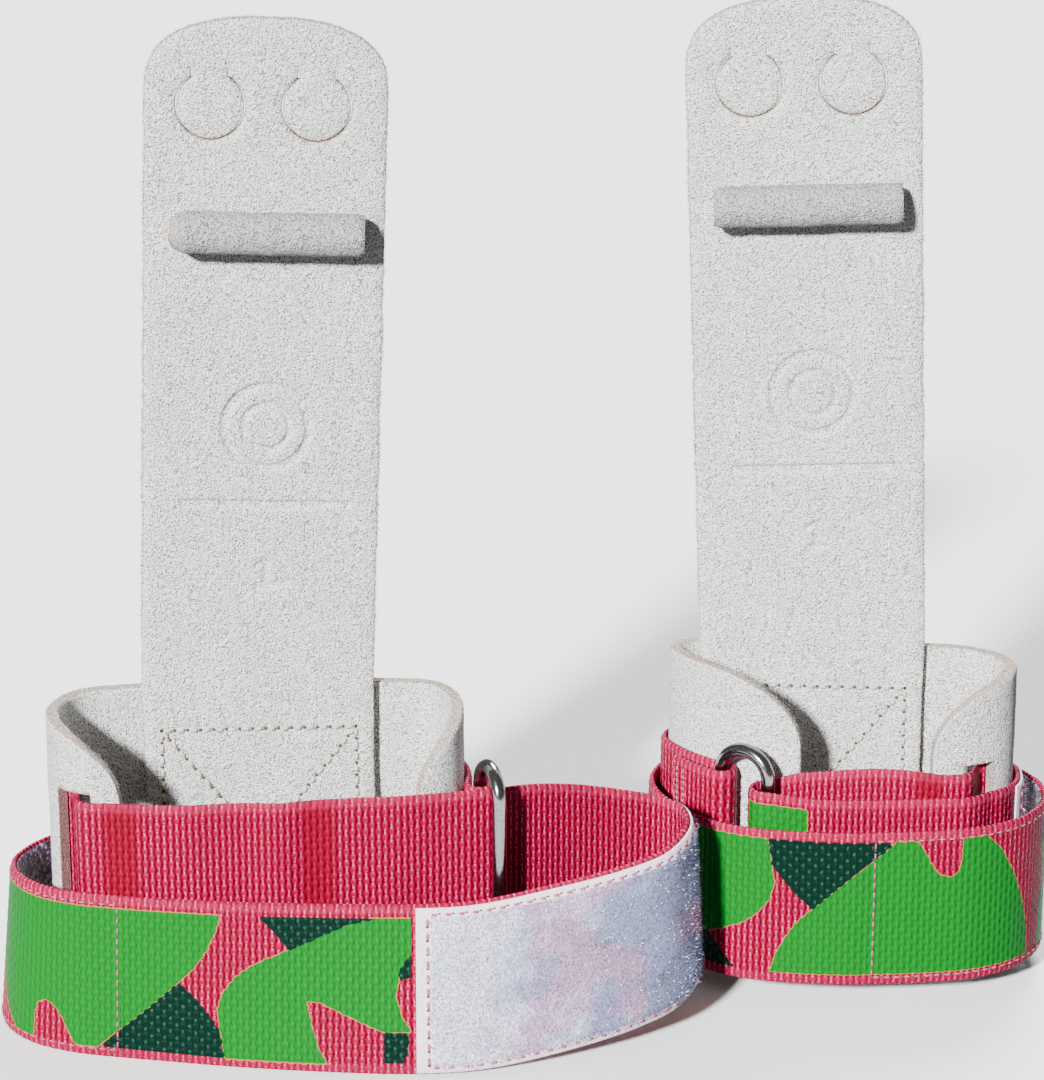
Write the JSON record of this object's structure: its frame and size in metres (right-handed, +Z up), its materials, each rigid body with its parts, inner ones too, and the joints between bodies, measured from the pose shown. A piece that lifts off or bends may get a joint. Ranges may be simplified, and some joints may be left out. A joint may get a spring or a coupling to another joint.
{
  "type": "gymnastics dowel hand grips",
  "caption": "Pair of suede dowel hand grips standing on their wrist cuffs, with hook-and-loop webbing straps run through steel rings.",
  "frame": {"origin": "centre of the pair's bounding box, on the surface that the cuffs stand on", "axes": "+Z up along the palms, -Y the way the suede palm faces look, +X to the right when they are seen from the front"},
  "size_m": [0.247, 0.0894, 0.23],
  "materials": {
    "suede": "pale grey-white chrome-tanned suede with short nap and rougher, warmer cut edges",
    "dowel": "bare turned dowel, hidden in its suede sleeve except at the ends",
    "webbing": "ribbed woven polyester webbing, plain pink inside, printed in two greens outside",
    "loop_pile": "soft brushed nylon loop tape in pale lavender with a flat selvedge",
    "hook_pile": "stiff woven nylon hook tape",
    "steel": "polished plated steel wire",
    "thread": "thick off-white bonded thread",
    "pink_thread": "pink bonded thread"
  },
  "bodies": {
    "left_grip": {"left_wrist_cuff": "suede", "left_palm_heel": "suede", "left_box_stitching": "thread", "left_strap": "webbing", "left_tab_stitching": "pink_thread", "left_loop_tape": "loop_pile", "left_loop_tape_stitching": "pink_thread"},
    "left_palm": {"left_palm_leather": "suede", "left_dowel_core": "dowel", "left_dowel_sleeve": "suede", "left_dowel_stitching": "thread"},
    "left_flap_left": {"left_finger_flap_left": "suede"},
    "left_flap_right": {"left_finger_flap_right": "suede"},
    "left_ring": {"left_strap_ring": "steel"},
    "left_tail": {"left_strap_tail": "webbing", "left_hook_tape": "hook_pile", "left_hook_tape_stitching": "pink_thread"},
    "right_grip": {"right_wrist_cuff": "suede", "right_palm_heel": "suede", "right_box_stitching": "thread", "right_strap": "webbing", "right_tab_stitching": "pink_thread", "right_loop_tape": "loop_pile", "right_loop_tape_stitching": "pink_thread"},
    "right_palm": {"right_palm_leather": "suede", "right_dowel_core": "dowel", "right_dowel_sleeve": "suede", "right_dowel_stitching": "thread"},
    "right_flap_left": {"right_finger_flap_left": "suede"},
    "right_flap_right": {"right_finger_flap_right": "suede"},
    "right_ring": {"right_strap_ring": "steel"},
    "right_tail": {"right_strap_tail": "webbing", "right_hook_tape": "hook_pile", "right_hook_tape_stitching": "pink_thread"}
  },
  "joints": [
    {"name": "right_grip_lift", "type": "slide", "parent": "left_grip", "child": "right_grip", "axis": [0, 0, 1], "range_m": [0, 0.12]},
    {"name": "left_palm_flex", "type": "hinge", "parent": "left_grip", "child": "left_palm", "pos_m": [-0.06258, 0.00364, 0.07852], "axis": [0.9969, 0.0697, -0.0366], "range_deg": [-80, 80], "stiffness_Nm_per_rad": 0.15},
    {"name": "left_flap_left_flex", "type": "hinge", "parent": "left_palm", "child": "left_flap_left", "pos_m": [-0.06952, 0.00316, 0.21887], "axis": [0.9969, 0.0697, -0.0366], "range_deg": [-70, 70], "stiffness_Nm_per_rad": 0.002},
    {"name": "left_flap_right_flex", "type": "hinge", "parent": "left_palm", "child": "left_flap_right", "pos_m": [-0.0464, 0.00477, 0.21802], "axis": [0.9969, 0.0697, -0.0366], "range_deg": [-70, 70], "stiffness_Nm_per_rad": 0.002},
    {"name": "left_ring_swivel", "type": "hinge", "parent": "left_grip", "child": "left_ring", "pos_m": [-0.01145, -0.01223, 0.03952], "axis": [0, 0, 1], "range_deg": [-10, 10]},
    {"name": "left_tail_peel", "type": "hinge", "parent": "left_grip", "child": "left_tail", "pos_m": [-0.0924, -0.03199, 0.019], "axis": [0.0216, 0.0918, 0.9955], "range_deg": [0, 100]},
    {"name": "right_palm_flex", "type": "hinge", "parent": "right_grip", "child": "right_palm", "pos_m": [0.06662, 0.03164, 0.07852], "axis": [0.9968, -0.0697, 0.0384], "range_deg": [-80, 80], "stiffness_Nm_per_rad": 0.15},
    {"name": "right_flap_left_flex", "type": "hinge", "parent": "right_palm", "child": "right_flap_left", "pos_m": [0.04919, 0.03286, 0.21795], "axis": [0.9968, -0.0697, 0.0384], "range_deg": [-70, 70], "stiffness_Nm_per_rad": 0.002},
    {"name": "right_flap_right_flex", "type": "hinge", "parent": "right_palm", "child": "right_flap_right", "pos_m": [0.07232, 0.03124, 0.21884], "axis": [0.9968, -0.0697, 0.0384], "range_deg": [-70, 70], "stiffness_Nm_per_rad": 0.002},
    {"name": "right_ring_swivel", "type": "hinge", "parent": "right_grip", "child": "right_ring", "pos_m": [0.04455, 0.01133, 0.03352], "axis": [0, 0, 1], "range_deg": [-4, 4]},
    {"name": "right_tail_peel", "type": "hinge", "parent": "right_grip", "child": "right_tail", "pos_m": [0.07885, -0.0057, 0.024], "axis": [0, 0, -1], "range_deg": [0, 100]}
  ]
}
